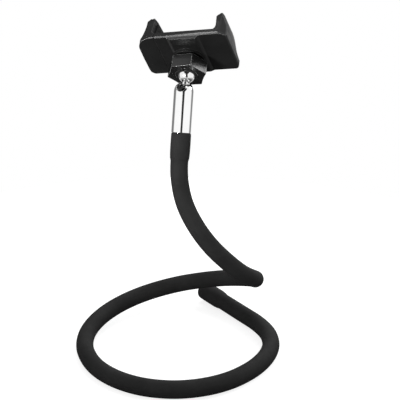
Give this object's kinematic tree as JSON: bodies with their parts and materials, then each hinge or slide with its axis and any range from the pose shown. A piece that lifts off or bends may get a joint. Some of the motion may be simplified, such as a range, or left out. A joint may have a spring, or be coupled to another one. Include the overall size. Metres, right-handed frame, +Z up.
{
  "type": "phone holder",
  "caption": "Flexible gooseneck that hangs round the neck in a loop and carries a sprung phone clamp on a swivelling double ball joint with a lock nut",
  "frame": {"origin": "centre of the bounding box at floor level, with the loop lying on the floor", "axes": "+Z up, +X to the right of the picture's view, +Y away from the viewer"},
  "size_m": [0.1692, 0.187, 0.2724],
  "materials": {
    "foam": "matte foam",
    "core_metal": "plain",
    "cap_plastic": "satin",
    "chrome": "polished",
    "steel": "plain",
    "nylon": "matte",
    "nut_plastic": "satin",
    "shell_plastic": "fine matte texture",
    "pad_rubber": "matte"
  },
  "bodies": {
    "gooseneck": {"sleeve": "foam", "core_rod": "core_metal", "core_ferrule": "steel", "end_cap": "cap_plastic", "slotted_tube": "chrome", "ball_seat": "nylon", "seat_spring": "steel"},
    "stud": {"ball_stud": "chrome"},
    "nut": {"lock_nut": "nut_plastic"},
    "clamp": {"back_shell": "shell_plastic", "front_cover": "shell_plastic", "front_pad": "pad_rubber", "fixed_jaw_pad": "pad_rubber", "cover_screw_1": "steel", "cover_screw_2": "steel", "cover_screw_3": "steel", "cover_screw_4": "steel", "spring_upper": "steel", "spring_lower": "steel"},
    "slide": {"sliding_jaw": "shell_plastic", "sliding_jaw_pad": "pad_rubber"}
  },
  "joints": [
    {"name": "stud_fold", "type": "hinge", "parent": "gooseneck", "child": "stud", "pos_m": [0.00564, 0.03044, 0.21199], "axis": [0.9196, -0.389, 0.0549], "range_deg": [-15, 70]},
    {"name": "head_tilt", "type": "hinge", "parent": "stud", "child": "nut", "pos_m": [0.0079, 0.03665, 0.22462], "axis": [0.9821, 0.0227, -0.1871], "range_deg": [-8, 51]},
    {"name": "head_turn", "type": "hinge", "parent": "nut", "child": "clamp", "pos_m": [0.0079, 0.03665, 0.22462], "axis": [0.1105, 0.7348, 0.6692], "continuous": true},
    {"name": "jaw_slide", "type": "slide", "parent": "clamp", "child": "slide", "axis": [-0.956, 0.2626, -0.1305], "range_m": [0, 0.028], "stiffness_N_per_m": 300, "springref_m": -0.02, "deforming": ["spring_upper", "spring_lower"]}
  ]
}
